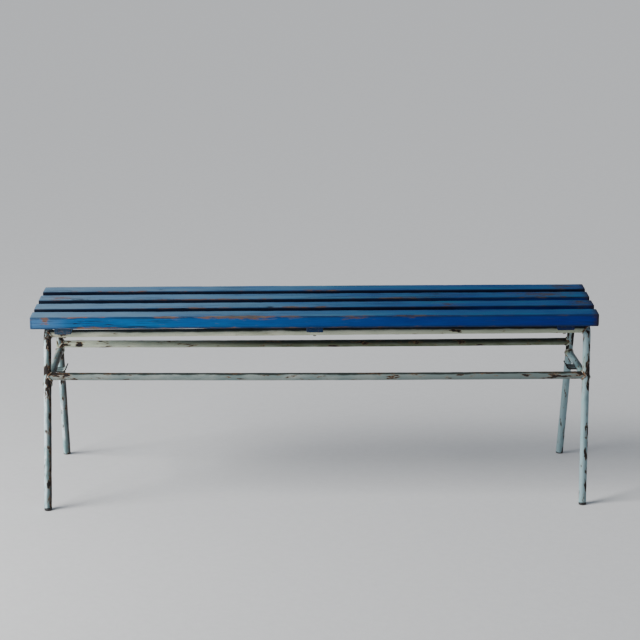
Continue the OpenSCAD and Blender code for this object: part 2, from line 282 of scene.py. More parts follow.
def framed_sweep(tree, given, outline):
    """Sweeps an outline along the path, and gives each point's place across, up and along."""
    curve = geo(tree, "MeshToCurve", {0: given["Path"]})
    curve = geo(tree, "SetCurveNormal", {"Curve": curve}, mode="Z_UP")
    spline = put(tree, "GeometryNodeSplineParameter")
    total = put(tree, "GeometryNodeSplineLength")["Length"]
    end_gap = smaller(tree, spline["Length"], less(tree, total, spline["Length"]))
    keep = tree.nodes.new("GeometryNodeCaptureAttribute")
    kept = (("VECTOR", "place", position(tree)), ("VECTOR", "normal", geo(tree, "InputNormal")),
            ("VECTOR", "tangent", geo(tree, "InputTangent")), ("FLOAT", "run", end_gap))
    tree.links.new(curve, keep.inputs[0])
    for index, (kind, label, value) in enumerate(kept):
        keep.capture_items.new(kind, label)
        tree.links.new(value, keep.inputs[index + 1])
    swept, place, normal, tangent, run = list(keep.outputs)[:5]
    mesh = geo(tree, "CurveToMesh", {"Curve": swept, "Profile Curve": outline, "Fill Caps": True})
    away = vector_sum(tree, "SUBTRACT", position(tree), place)
    rise = vector_sum(tree, "CROSS_PRODUCT", tangent, normal)
    return (mesh, vector_sum(tree, "DOT_PRODUCT", away, normal),
            vector_sum(tree, "DOT_PRODUCT", away, rise), run, normal, rise)


def smooth_where_small(tree, mesh, area):
    """Shades the faces below an area smooth, and leaves the flat ends flat."""
    small = put(tree, "FunctionNodeCompare", {0: geo(tree, "InputMeshFaceArea"), 1: area},
                data_type="FLOAT", operation="LESS_THAN")[0]
    return geo(tree, "SetShadeSmooth", {"Geometry": mesh, "Shade Smooth": small}, domain="FACE")


def make_board_tree():
    """Board with eased arrises and ends, worn unevenly, along a straight or bent path."""
    tree, given = shape_tree("board", ("Width", "Thickness", "Edge", "End", "Wear", "Sway", "Seed",
                                       "Material"))
    outline = geo(tree, "CurvePrimitiveQuadrilateral", {0: given["Width"], 1: given["Thickness"]})
    outline = geo(tree, "FilletCurve", {"Curve": outline, "Count": 5, "Radius": given["Edge"]},
                  mode="POLY")
    outline = geo(tree, "ResampleCurve", {"Curve": outline, "Length": 0.0017}, mode="LENGTH")
    mesh, over, up, run, side_way, up_way = framed_sweep(tree, given, outline)
    half_w, half_t = times(tree, given["Width"], 0.5), times(tree, given["Thickness"], 0.5)
    from_side = less(tree, half_w, maths(tree, "ABSOLUTE", over))
    from_face = less(tree, half_t, maths(tree, "ABSOLUTE", up))
    long_edge = larger(tree, from_side, from_face)
    arris = larger(tree, smaller(tree, from_side, from_face), smaller(tree, long_edge, run))
    # Ends drawn in on a quarter round
    left = larger(tree, less(tree, given["End"], run), 0.0)
    inside = less(tree, times(tree, given["End"], given["End"]), times(tree, left, left))
    drawn = less(tree, given["End"], maths(tree, "SQRT", larger(tree, inside, 0.0)))
    # Wear eats the arris, and the faces sway a little
    seed = times(tree, given["Seed"], 7.31)
    turn = times(tree, maths(tree, "SIGN", over), 0.35)
    place = split(tree, position(tree))
    spot = vector_of(tree, place[0], seed, turn)
    eaten = cloud(tree, vector_sum(tree, "ADD", spot, vector_of(tree, place[1])), (22, 1, 3), 0.4, 5, 0.62)
    eaten = times(tree, step(tree, eaten, 0.42, 0.78), step(tree, arris, 0.007, 0.0))
    gone = plus(tree, drawn, times(tree, eaten, given["Wear"]))
    sway = step(tree, cloud(tree, spot, (4.5, 1, 5), 5.1, 3, 0.5), 0.25, 0.75)
    sway = times(tree, sway, given["Sway"])
    in_over = plus(tree, gone, times(tree, sway, step(tree, from_side, 0.006, 0.0)))
    in_up = plus(tree, gone, times(tree, times(tree, sway, 0.12), step(tree, from_face, 0.006, 0.0)))
    in_over = times(tree, in_over, maths(tree, "DIVIDE", over, half_w))
    in_up = times(tree, in_up, maths(tree, "DIVIDE", up, half_t))
    shift = vector_sum(tree, "ADD", vector_sum(tree, "SCALE", side_way, scale=times(tree, in_over, -1.0)),
                       vector_sum(tree, "SCALE", up_way, scale=times(tree, in_up, -1.0)))
    mesh = geo(tree, "StoreNamedAttribute", {"Geometry": mesh, "Name": "arris", "Value": arris},
               data_type="FLOAT", domain="POINT")
    mesh = geo(tree, "SetPosition", {"Geometry": mesh, "Offset": shift})
    return close_tree(tree, smooth_where_small(tree, mesh, 0.00008), given)


def settle(piece):
    """Gives a piece the mesh that its modifiers make, and drops them."""
    bpy.context.view_layer.update()
    graph = bpy.context.evaluated_depsgraph_get()
    mesh = bpy.data.meshes.new_from_object(piece.evaluated_get(graph), preserve_all_data_layers=True,
                                           depsgraph=graph)
    piece.modifiers.clear()
    piece.data = mesh
    mesh.name = piece.name


def grown(name, tree, lines, **sizes):
    """Plain mesh piece that a tree makes along lines of points; a line may be closed."""
    points, edges = [], []
    for line, closed in lines:
        first = len(points)
        points += [tuple(p) for p in line]
        edges += [(i, i + 1) for i in range(first, len(points) - 1)]
        if closed:
            edges.append((len(points) - 1, first))
    path = bpy.data.meshes.new(name + "_path")
    path.from_pydata(points, edges, [])
    piece = in_scene(name, path)
    shaper = piece.modifiers.new("shape", "NODES")
    shaper.node_group = tree
    for item in tree.interface.items_tree:
        if item.in_out == "INPUT" and item.name in sizes:
            shaper[item.identifier] = sizes[item.name]
    settle(piece)
    return piece


def stations(start, end, near_end, every):
    """Points from start to end, close together on the rounding at each end."""
    length = (end - start).length
    close = [near_end * share for share in (0, 0.03, 0.12, 0.27, 0.47, 0.72, 1.0)]
    middle = max(2, round((length - 2 * near_end) / every))
    along = close + [near_end + (length - 2 * near_end) * i / middle for i in range(1, middle)]
    along += [length - gap for gap in reversed(close)]
    return [start + (end - start) * (gap / length) for gap in along]


def store(piece, name, values):
    """Stores a value at each point of a piece."""
    piece.data.attributes.new(name, "FLOAT", "POINT").data.foreach_set("value", values)


def mark(piece, name, places):
    """Stores how hard each point is hit: a place is its centre, its reach on each axis and its strength."""
    values = []
    for vertex in piece.data.vertices:
        hardest = 0.0
        for centre, reach, strength in places:
            gap = math.sqrt(sum(((vertex.co[i] - centre[i]) / reach[i]) ** 2 for i in range(3)))
            hardest = max(hardest, strength * max(0.0, 1 - gap))
        values.append(hardest)
    store(piece, name, values)


def mark_gap_sides(board, low, high, front, rear):
    """Stores painted shade on the sides that face a gap between slats, from a little below the top."""
    values = []
    for vertex in board.data.vertices:
        inside = min(abs(vertex.co.y - low.y) if front else 1.0, abs(high.y - vertex.co.y) if rear else 1.0)
        depth = min(1.0, max(0.0, (high.z - vertex.co.z - 0.0003) / gap_side_depth))
        values.append(depth * min(1.0, max(0.0, 1.6 - inside / gap_side_reach)))
    store(board, "gap_shade", values)


board_tree = make_board_tree()
slat_paint = weathered_blue("worn_blue_on_slats", 0, 0.10)
# Each slat: CAD node, its drift in depth at the left and right ends, and its hard-worn places
slat_rows = (
    ("front_slat", 0.0, 0.0, 1, (
        ((-0.615, -0.144, 0.436), (0.016, 0.02, 0.014), 1.0),
        ((-0.500, -0.144, 0.417), (0.11, 0.02, 0.006), 0.8),
        ((-0.520, -0.144, 0.445), (0.09, 0.008, 0.005), 0.7),
        ((-0.335, -0.144, 0.443), (0.04, 0.012, 0.008), 1.0),
        ((-0.170, -0.144, 0.442), (0.17, 0.012, 0.008), 1.1),
        ((0.085, -0.144, 0.440), (0.05, 0.012, 0.010), 0.8),
        ((0.240, -0.144, 0.443), (0.09, 0.010, 0.006), 0.8),
        ((0.05, -0.144, 0.417), (0.5, 0.02, 0.004), 0.45),
        ((0.640, -0.144, 0.430), (0.02, 0.03, 0.03), 0.3))),
    ("mid_front_slat", -0.003, 0.004, 2, (
        ((-0.05, -0.062, 0.444), (0.05, 0.012, 0.006), 0.9),
        ((0.02, -0.062, 0.444), (0.03, 0.010, 0.006), 0.9),
        ((0.31, -0.045, 0.445), (0.05, 0.03, 0.006), 0.7),
        ((-0.28, -0.062, 0.444), (0.12, 0.012, 0.006), 0.5),
        ((0.62, -0.04, 0.44), (0.04, 0.04, 0.03), 0.8))),
    ("mid_rear_slat", -0.002, 0.004, 3, (
        ((-0.60, 0.035, 0.443), (0.06, 0.03, 0.008), 0.8),
        ((-0.25, 0.018, 0.443), (0.20, 0.012, 0.006), 0.7),
        ((0.20, 0.018, 0.444), (0.13, 0.014, 0.006), 0.7),
        ((0.54, 0.045, 0.445), (0.13, 0.04, 0.008), 0.8))),
    ("rear_slat", 0.0, 0.0, 4, (
        ((-0.45, 0.10, 0.443), (0.25, 0.012, 0.006), 0.5),
        ((0.02, 0.10, 0.443), (0.10, 0.012, 0.006), 0.7),
        ((0.60, 0.12, 0.44), (0.06, 0.04, 0.02), 0.8))),
)
for node, drift_left, drift_right, seed, places in slat_rows:
    low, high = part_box(node)
    middle = (low + high) / 2
    start = Vector((-slat_length / 2, middle.y + drift_left, middle.z))
    end = Vector((slat_length / 2, middle.y + drift_right, middle.z))
    board = grown(node + "_board", board_tree, [(stations(start, end, slat_end_r, 0.0035), False)],
                  Width=high.y - low.y - skin, Thickness=high.z - low.z - skin, Edge=slat_edge_r,
                  End=slat_end_r, Wear=0.0008, Sway=0.0016, Seed=seed, Material=slat_paint)
    mark(board, "worn", places)
    mark_gap_sides(board, low, high, node != "front_slat", node != "rear_slat")
    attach(board, "root")
    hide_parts(node)

# ----------------------------------------
# Cleats. Three short softwood battens under the slats, painted with them. They are notched over
# the two top rails and carry the seat.
notch_depth, notch_gap = 0.004, 0.0005


def cut_boxes(piece, boxes):
    """Cuts boxes, each given by its low and high corners, out of a plain mesh piece."""
    for low, high in boxes:
        corners = [(x, y, z) for x in (low.x, high.x) for y in (low.y, high.y) for z in (low.z, high.z)]
        block = bpy.data.meshes.new("block")
        block.from_pydata(corners, [], [(0, 1, 3, 2), (4, 6, 7, 5), (0, 4, 5, 1), (2, 3, 7, 6), (0, 2, 6, 4),
                                        (1, 5, 7, 3)])
        cutter = in_scene("block", block)
        trim = piece.modifiers.new("trim", "BOOLEAN")
        trim.operation, trim.solver, trim.object = "DIFFERENCE", "EXACT", cutter
        settle(piece)
        bpy.data.objects.remove(cutter)


# The cleats' sides get painted light towards the left end
cleat_paint = weathered_blue("worn_blue_on_cleats", 1, 0.06, 0.55)
for node, seed in (("left_cleat", 5), ("middle_cleat", 6), ("right_cleat", 7)):
    low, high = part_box(node)
    middle = (low + high) / 2
    batten = grown(node + "_batten", board_tree,
                   [(stations(Vector((middle.x, low.y, middle.z)), Vector((middle.x, high.y, middle.z)),
                              0.002, 0.004), False)],
                   Width=high.x - low.x - skin, Thickness=high.z - low.z - skin, Edge=0.0018, End=0.002,
                   Wear=0.001, Sway=0.0008, Seed=seed, Material=cleat_paint)
    notches = []
    for rail in ("front_top_rail", "rear_top_rail"):
        rail_low, rail_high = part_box(rail)
        notches.append((Vector((low.x - notch_depth, rail_low.y - notch_gap, low.z - notch_depth)),
                        Vector((high.x + notch_depth, rail_high.y + notch_gap, low.z + notch_depth))))
    cut_boxes(batten, notches)
    mark(batten, "worn", (((low.x, low.y, low.z), (0.05, 0.05, 0.02), 0.05),))
    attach(batten, "root")
    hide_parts(node)

# ----------------------------------------
# Hoops. Each end of the frame is one steel tube bent to an upturned U with raked legs. Pale
# blue-grey enamel over older coats, chipped to black oxide and rust, worst near the joints.
tube_r, bend_r, hoop_half, foot_gap = 0.009, 0.028, 0.104, 0.005
tube_skin_r, leg_steps, bend_steps, cross_steps = tube_r - 0.0001, 90, 18, 20
enamel_blue, enamel_teal, enamel_olive = (0.66, 0.76, 0.80), (0.20, 0.40, 0.42), (0.24, 0.25, 0.10)
scale_black, rust_brown, rust_orange = (0.007, 0.006, 0.006), (0.048, 0.024, 0.012), (0.27, 0.13, 0.04)
# The first colour darkens upper sides as dirt and painted shade; the other two paint shade on the side of a
# tube away from the sun
dirt_and_shade_dark, side_shade_grey, side_shade_dark = (0.018, 0.021, 0.017), (0.085, 0.130, 0.135), (0.010, 0.016, 0.018)
# Each hoop: X at the floor, height of its cross tube, half its foot spread, lean and turn in radians
hoop_rows = {"left": (-0.6185, 0.400, 0.201, math.radians(0.35), math.radians(0.4)),
             "right": (0.6145, 0.404, 0.185, math.radians(1.65), math.radians(1.2))}


def enamel(name, pale, shade, old, long_way, chipping, dirt_shade_rise=(0.9, 1.3), dirt_shade_from=(-9.0, -8.0), edged=False,
           painted_shade_x=(9.0, 9.5), painted_shade_dark=(0.0, 0.0, 0.0), painted_side_shade=1.0):
    """Old enamel on steel, its flaws drawn out along axis long_way. Soot, dirt and painted shade lie where
    the surface faces up by more than the first value of their pair, fully at the second, and from one X to
    another. Painted shade darkens the paint in patches to its dark colour from one X to another. A sided tube
    gets painted shade on the side away from the sun."""
    def drawn_out(along, over):
        return tuple(along if axis == long_way else over for axis in range(3))
    material, tree, where = new_paint(name)
    near = step(tree, stored(tree, "joint"), 0.050, 0.004)
    facing = split(tree, put(tree, "ShaderNodeNewGeometry")["Normal"])
    x_place = split(tree, where)["X"]
    mottle = cloud(tree, where, drawn_out(16, 60), 2.6, 6, 0.6)
    wash = cloud(tree, where, drawn_out(7, 26), 6.3, 4, 0.55)
    speck = cloud(tree, where, (420, 420, 420), 1.1, 3, 0.6)
    bite = cloud(tree, where, drawn_out(30, 115), 8.8, 8, 0.62)
    area = cloud(tree, where, drawn_out(8, 14), 3.3, 2, 0.5)
    paint = tint(tree, step(tree, mottle, 0.36, 0.66), pale, shade)
    dull = scaled(tree, near, 0.10, scaled(tree, stored(tree, "old"), 0.45, wash))
    paint = tint(tree, step(tree, dull, 0.58, 0.80), paint, old)
    paint = tint(tree, times(tree, step(tree, speck, 0.56, 0.72), 0.30), paint, rust_brown)
    # Painted shade: a dark strip on the side of the tube away from the sun
    side_shade_share = scaled(tree, mottle, 0.8, facing["X"])
    paint = tint(tree, times(tree, step(tree, side_shade_share, -0.10, 0.42), 0.92 * painted_side_shade), paint, side_shade_grey)
    paint = tint(tree, times(tree, step(tree, side_shade_share, 0.62, 1.20), 0.95 * painted_side_shade), paint, side_shade_dark)
    # Painted shade: darker patches from one X to another, towards the right
    painted_shade_paint = tint(tree, step(tree, mottle, 0.40, 0.95), painted_shade_dark, paint)
    paint = tint(tree, step(tree, x_place, *painted_shade_x), paint, painted_shade_paint)
    # Soot, damp dirt and painted shade from the seat on the upper side
    dirt_and_shade = scaled(tree, less(tree, mottle, 0.5), 0.9, facing["Z"])
    dirt_and_shade = times(tree, step(tree, dirt_and_shade, *dirt_shade_rise), step(tree, x_place, *dirt_shade_from, bottom=0.25))
    paint = tint(tree, times(tree, dirt_and_shade, 0.92), paint, dirt_and_shade_dark)
    # Chips: stained paint, then rust, then black scale, more of them on the side away from the sun
    torn = scaled(tree, near, 0.085, scaled(tree, area, 0.34, bite))
    torn = scaled(tree, step(tree, facing["X"], -0.3, 0.9), 0.05, torn)
    if edged:
        torn = scaled(tree, step(tree, stored(tree, "arris"), 0.0022, 0.0004), 0.45, torn)
    torn = scaled(tree, stored(tree, "knocked"), 0.20, plus(tree, torn, chipping))
    stain = step(tree, torn, 0.735, 0.80)
    rust = step(tree, torn, 0.785, 0.805)
    scale = step(tree, torn, 0.795, 0.83)
    colour = tint(tree, times(tree, stain, 0.28), paint, rust_orange)
    colour = tint(tree, rust, colour, tint(tree, step(tree, speck, 0.45, 0.65), rust_brown, rust_orange))
    colour = tint(tree, scale, colour, tint(tree, step(tree, speck, 0.52, 0.70), scale_black, rust_brown))
    height = scaled(tree, mottle, 0.00055, times(tree, rust, -0.00028))
    height = scaled(tree, speck, scaled(tree, rust, 0.00020, 0.00004), height)
    gloss = scaled(tree, rust, 0.40, scaled(tree, wash, 0.25, 0.28))
    coated(tree, colour, gloss, height, **{"Specular IOR Level": 0.35})
    return material


def circle(tree, sides, radius):
    return geo(tree, "CurvePrimitiveCircle", {"Resolution": sides, "Radius": radius})


def make_tube_tree():
    """Round tube along a path, a little out of round, with closed ends."""
    tree, given = shape_tree("tube", ("Radius", "Dent", "Sides", "Seed", "Material"))
    curve = geo(tree, "MeshToCurve", {0: given["Path"]})
    mesh = geo(tree, "CurveToMesh", {
        "Curve": curve, "Profile Curve": circle(tree, given["Sides"], given["Radius"]), "Fill Caps": True})
    place = vector_sum(tree, "ADD", position(tree), vector_of(tree, given["Seed"]))
    dent = cloud(tree, place, (26, 26, 26), 0.7, 3, 0.5)
    depth = times(tree, step(tree, dent, 0.4, 0.8), given["Dent"])
    inward = vector_sum(tree, "SCALE", geo(tree, "InputNormal"), scale=times(tree, depth, -1.0))
    mesh = geo(tree, "SetPosition", {"Geometry": mesh, "Offset": inward})
    return close_tree(tree, smooth_where_small(tree, mesh, 0.00006), given)


def hoop_rake(row):
    return math.atan((row[2] - hoop_half) / row[1])


def leaned(row, y, z):
    """A point of an upright hoop, leaned to the right and turned about the vertical with it."""
    out = z * math.sin(row[3])
    return Vector((row[0] + out * math.cos(row[4]) - y * math.sin(row[4]),
                   out * math.sin(row[4]) + y * math.cos(row[4]), z * math.cos(row[3])))


def leg_at(row, side, z):
    """Centre of a leg at a height in the hoop's own plane."""
    return leaned(row, side * (row[2] - z * math.tan(hoop_rake(row))), z)


def on_bend(row, share):
    """Depth and height of a point on a hoop's bend, from its leg to its cross tube."""
    rake, sweep = hoop_rake(row), math.pi / 2 - hoop_rake(row)
    angle = rake + sweep * share
    return (hoop_half - bend_r * math.tan(sweep / 2) + bend_r * math.cos(angle),
            row[1] - bend_r + bend_r * math.sin(angle))


def hoop_line(row):
    """Centre line of a hoop, from front foot to rear foot."""
    rake = hoop_rake(row)
    leg = row[1] / math.cos(rake) - bend_r * math.tan((math.pi / 2 - rake) / 2)
    climb = [foot_gap + (leg - foot_gap) * i / leg_steps for i in range(leg_steps + 1)]
    half = [(row[2] - up * math.sin(rake), up * math.cos(rake)) for up in climb]
    half += [on_bend(row, i / bend_steps) for i in range(1, bend_steps + 1)]
    half += [(half[-1][0] * (1 - i / cross_steps), row[1]) for i in range(1, cross_steps)]
    front = [leaned(row, -y, z) for y, z in half]
    rear = [leaned(row, y, z) for y, z in half[:-1]]
    return front + [leaned(row, 0, row[1])] + rear[::-1]


def bend_centre(row, side):
    """Where a top rail meets the middle of a bend."""
    y, z = on_bend(row, 0.5)
    return leaned(row, side * y, z)


leg_sides = (("front", -1), ("rear", 1))
lower_heights = {("left", -1): 0.300, ("right", -1): 0.295, ("left", 1): 0.306, ("right", 1): 0.306}
strut_heights = {("left", -1): 0.282, ("left", 1): 0.291, ("right", -1): 0.290, ("right", 1): 0.277}
joints = []
for hand, row in hoop_rows.items():
    for side in (-1, 1):
        joints += [bend_centre(row, side), leg_at(row, side, lower_heights[hand, side]),
                   leg_at(row, side, strut_heights[hand, side])]


def mark_joints(piece):
    """Stores each point's distance from the nearest welded joint, less the tube's radius."""
    store(piece, "joint", [max(0.0, min((v.co - joint).length for joint in joints) - tube_r)
                           for v in piece.data.vertices])


knock_heights = {"left": (0.37, 0.24, 0.13, 0.05), "right": (0.17, 0.11, 0.05)}
tube_tree = make_tube_tree()
# The legs' enamel carries painted shade: darker patches towards the right and a dark strip on the side away
# from the sun
leg_paint = enamel("blue_grey_enamel_on_legs", enamel_blue, enamel_teal, enamel_olive, 2, 0.012,
                   painted_shade_x=(-0.5, 0.7), painted_shade_dark=(0.24, 0.36, 0.39))
for hand, row in hoop_rows.items():
    hoop = grown(hand + "_hoop_tube", tube_tree, [(hoop_line(row), False)], Radius=tube_skin_r,
                 Dent=0.0006, Sides=48, Seed=1 if hand == "left" else 2, Material=leg_paint)
    mark_joints(hoop)
    # Hard knocks down the inner side of the front legs
    mark(hoop, "knocked", [(leg_at(row, -1, z) + Vector((0.005, -0.007, 0)), (0.009, 0.010, 0.06), 0.5)
                           for z in knock_heights[hand]])
    # The older olive coat shows on the upper rear leg at the right
    mark(hoop, "old", [(leg_at(row, 1, 0.345), (0.03, 0.05, 0.085), 1.0)] if hand == "right" else [])
    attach(hoop, "root")
    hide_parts(hand + "_hoop")

# ----------------------------------------
# Rails. Four straight steel tubes join the hoops: two just under the cleats, into the bends,
# and two lower down, coped to the legs. Olive-grey enamel, rusty where it has chipped.
rail_pale, rail_shade, rail_old = (0.70, 0.71, 0.54), (0.50, 0.54, 0.39), (0.24, 0.23, 0.12)
mossy_pale, mossy_shade = (0.58, 0.62, 0.47), (0.40, 0.46, 0.36)
lower_pale, lower_shade = (0.26, 0.305, 0.285), (0.15, 0.21, 0.205)
# Dark colours of the painted shade that deepens towards the right of the rails
rail_painted_shade, lower_painted_shade, mossy_painted_shade = (0.34, 0.38, 0.28), (0.13, 0.17, 0.165), (0.085, 0.105, 0.050)
lower_sag, rail_steps, rail_end_gap = 0.002, 240, 0.004


def rail_line(left, right, sag):
    """Centre line of a rail, short of each hoop's centre line, with a slight sag."""
    points = []
    for i in range(rail_steps + 1):
        share = i / rail_steps
        point = left.lerp(right, share) + (right - left).normalized() * rail_end_gap * (1 - 2 * share)
        points.append(point - Vector((0, 0, 4 * sag * share * (1 - share))))
    return points


rail_ends = {}
for place, side in leg_sides:
    rail_ends[place + "_top_rail"] = [bend_centre(hoop_rows[end], side) for end in ("left", "right")]
    rail_ends[place + "_lower_rail"] = [leg_at(hoop_rows[end], side, lower_heights[end, side])
                                        for end in ("left", "right")]
# Each rail's enamel has painted shade: darker towards the right, and a dark upper side shaded by the seat,
# with some dirt
rail_paints = {
    "front_top_rail": enamel("olive_enamel_top_rails", rail_pale, rail_shade, rail_old, 0, -0.03,
                             (0.25, 0.62), painted_shade_x=(-0.2, 0.5), painted_shade_dark=rail_painted_shade, painted_side_shade=0.0),
    "front_lower_rail": enamel("grey_enamel_front_lower_rail", lower_pale, lower_shade, rail_old, 0, -0.01,
                               (0.55, 0.80), painted_shade_x=(-0.1, 0.5), painted_shade_dark=lower_painted_shade, painted_side_shade=0.0),
    "rear_lower_rail": enamel("mossy_enamel_rear_lower_rail", mossy_pale, mossy_shade, rail_old, 0, -0.01,
                              (-0.6, 0.75), (-0.50, -0.05), painted_shade_x=(-0.50, -0.05), painted_shade_dark=mossy_painted_shade,
                              painted_side_shade=0.0)}
rail_paints["rear_top_rail"] = rail_paints["front_top_rail"]
knocked_rails = {
    "rear_lower_rail": [((-0.570, 0.12, 0.306), (0.016, 0.02, 0.02), 0.9),
                        ((0.045, 0.12, 0.306), (0.02, 0.02, 0.02), 0.9)],
    "front_lower_rail": [((-0.57, -0.13, 0.300), (0.014, 0.02, 0.02), 0.8),
                         ((0.42, -0.13, 0.300), (0.13, 0.02, 0.012), 0.55),
                         ((0.55, -0.13, 0.298), (0.05, 0.02, 0.012), 0.85)]}
for index, (node, (left_end, right_end)) in enumerate(rail_ends.items()):
    sag = lower_sag if "lower" in node else 0.0
    rail = grown(node + "_tube", tube_tree, [(rail_line(left_end, right_end, sag), False)],
                 Radius=tube_skin_r, Dent=0.0005, Sides=40, Seed=10 + index, Material=rail_paints[node])
    mark_joints(rail)
    mark(rail, "knocked", knocked_rails.get(node, []))
    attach(rail, "root")
    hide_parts(node)

# ----------------------------------------
# Struts. A short tube from leg to leg inside each hoop, just under the lower rails. It was
# painted with the hoop.
strut_gap, strut_steps = 0.012, 60
strut_paints = {
    "left": enamel("grey_enamel_on_left_strut", (0.38, 0.45, 0.43), (0.20, 0.27, 0.26), enamel_olive, 1,
                   0.0),
    "right": enamel("teal_enamel_on_right_strut", (0.30, 0.46, 0.48), (0.10, 0.22, 0.25), enamel_olive, 1,
                    0.0)}
strut_ends = {hand: [leg_at(row, side, strut_heights[hand, side]) for side in (-1, 1)]
              for hand, row in hoop_rows.items()}
for index, (hand, (front_end, rear_end)) in enumerate(strut_ends.items()):
    line = [front_end.lerp(rear_end, strut_gap + (1 - 2 * strut_gap) * i / strut_steps)
            for i in range(strut_steps + 1)]
    strut = grown(hand + "_strut_tube", tube_tree, [(line, False)], Radius=tube_skin_r, Dent=0.0005,
                  Sides=40, Seed=20 + index, Material=strut_paints[hand])
    mark_joints(strut)
    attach(strut, "root")
    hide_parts(hand + "_strut")

# ----------------------------------------
# Hooks. A curled strip of flat steel welded to the inner side of each strut, a remnant of a
# holder for a bag or a shelf. It was painted with the legs, and its edges have rusted.
hook_paints = {
    "left": enamel("pale_enamel_on_left_hook", (0.36, 0.42, 0.40), (0.20, 0.26, 0.25), enamel_olive, 0, 0.0,
                   edged=True),
    # The right hook's enamel is near black: painted shade
    "right": enamel("shaded_enamel_on_right_hook", (0.045, 0.075, 0.08), (0.02, 0.035, 0.04), enamel_olive, 0,
                    0.03, edged=True)}
hook_w, hook_t, hook_reach, hook_r, hook_turn, hook_lip = 0.040, 0.003, 0.014, 0.008, math.radians(62), 0.006
hook_steps = 12
for hand, inward in (("left", 1), ("right", -1)):
    low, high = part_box(hand + "_hook")
    turn = hoop_rows[hand][4]
    ahead = Vector((inward * math.cos(turn), inward * math.sin(turn), 0))
    # The strip's square inner end touches the box at one corner, since the strip is turned
    skew = hook_w / 2 * abs(math.sin(turn))
    start = Vector((low.x + skew if inward > 0 else high.x - skew, 0, 0))
    run = hook_reach + (hook_r + hook_t) * math.sin(hook_turn) + hook_lip * math.cos(hook_turn)
    start.y = (low.y + high.y) / 2 - ahead.y * run / 2
    centre_r = hook_r + hook_t / 2
    line = [(gap, 0.0) for gap in (0.0003, 0.002, 0.005, 0.008, 0.011)]
    turns = [hook_turn * i / hook_steps for i in range(hook_steps + 1)]
    line += [(hook_reach + centre_r * math.sin(angle), centre_r * (1 - math.cos(angle))) for angle in turns]
    tip = line[-1]
    line += [(tip[0] + gap * math.cos(hook_turn), tip[1] + gap * math.sin(hook_turn))
             for gap in (0.002, 0.004, 0.0050, 0.0055, hook_lip - 0.0002)]
    start.z = low.z + hook_t / 2
    strip = grown(hand + "_hook_strip", board_tree,
                  [([start + ahead * out + Vector((0, 0, up)) for out, up in line], False)],
                  Width=hook_w - skin, Thickness=hook_t - 0.0002, Edge=0.0009, End=0.0008,
                  Wear=0.0003, Sway=0.0004, Seed=30, Material=hook_paints[hand])
    mark_joints(strip)
    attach(strip, "root")
    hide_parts(hand + "_hook")

# ----------------------------------------
# Weld beads. Hand-laid beads run round the end of every rail and strut where it meets a hoop.
# Their overlapping ripples show through thin paint and brown rust.
bead_r, ripple, ring_points, ring_search = 0.0021, 0.0032, 72, 22
weld_rust, weld_orange = (0.055, 0.028, 0.014), (0.21, 0.10, 0.04)
weld_shade, weld_pale = (0.30, 0.33, 0.26), (0.46, 0.50, 0.46)


def make_bead_tree():
    """Rippled bead along a closed path."""
    tree, given = shape_tree("bead", ("Radius", "Ripple", "Seed", "Material"))
    curve = geo(tree, "MeshToCurve", {0: given["Path"]})
    curve = geo(tree, "ResampleCurve", {"Curve": curve, "Length": 0.0005}, mode="LENGTH")
    run = put(tree, "GeometryNodeSplineParameter")["Length"]
    phase = maths(tree, "FRACT", maths(tree, "DIVIDE", run, given["Ripple"]))
    place = vector_sum(tree, "ADD", position(tree), vector_of(tree, given["Seed"]))
    uneven = cloud(tree, place, (190, 190, 190), 0.3, 2, 0.5)
    size = scaled(tree, phase, -0.24, scaled(tree, uneven, 0.7, 0.72))
    curve = geo(tree, "SetCurveRadius", {"Curve": curve, "Radius": size})
    mesh = geo(tree, "CurveToMesh", {
        "Curve": curve, "Profile Curve": circle(tree, 12, given["Radius"]),
        "Scale": geo(tree, "InputRadius")})
    mesh = geo(tree, "SetShadeSmooth", {"Geometry": mesh}, domain="FACE")
    return close_tree(tree, mesh, given)


def weld_paint():
    """Thin paint over a rusty bead."""
    material, tree, where = new_paint("painted_weld")
    mottle = cloud(tree, where, (120, 120, 120), 4.4, 5, 0.6)
    speck = cloud(tree, where, (520, 520, 520), 1.9, 3, 0.6)
    rust = tint(tree, step(tree, speck, 0.4, 0.62), weld_rust, weld_orange)
    paint = tint(tree, step(tree, speck, 0.42, 0.6), weld_shade, weld_pale)
    bare = step(tree, mottle, 0.42, 0.56)
    height = scaled(tree, speck, 0.0002, times(tree, mottle, 0.0004))
    coated(tree, tint(tree, bare, paint, rust), scaled(tree, bare, 0.3, 0.45), height)
    return material


def gap_to_line(point, line):
    """Distance from a point to a line of points."""
    best = 1.0
    for a, b in zip(line, line[1:]):
        along = max(0.0, min(1.0, (point - a).dot(b - a) / (b - a).length_squared))
        best = min(best, (point - a - (b - a) * along).length)
    return best


def ring_of(over, rise, count):
    """Directions all the way round, from over towards rise."""
    turns = [2 * math.pi * i / count for i in range(count)]
    return [over * math.cos(turn) + rise * math.sin(turn) for turn in turns]


def joint_ring(centre, towards, host):
    """Closed line where a tube that leaves centre in a direction meets a host tube of the same size."""
    ahead = towards.normalized()
    over = ahead.cross(Vector((0, 0, 1))).normalized()
    rise = over.cross(ahead)
    near_host = [p for p in host if (p - centre).length < 0.06]
    ring = []
    for outward in ring_of(over, rise, ring_points):
        inner, outer = -0.002, 0.03
        for _ in range(ring_search):
            middle = (inner + outer) / 2
            if gap_to_line(centre + outward * tube_r + ahead * middle, near_host) < tube_r:
                inner = middle
            else:
                outer = middle
        ring.append(centre + outward * (tube_r + 0.0004) + ahead * (outer + 0.0006))
    return ring


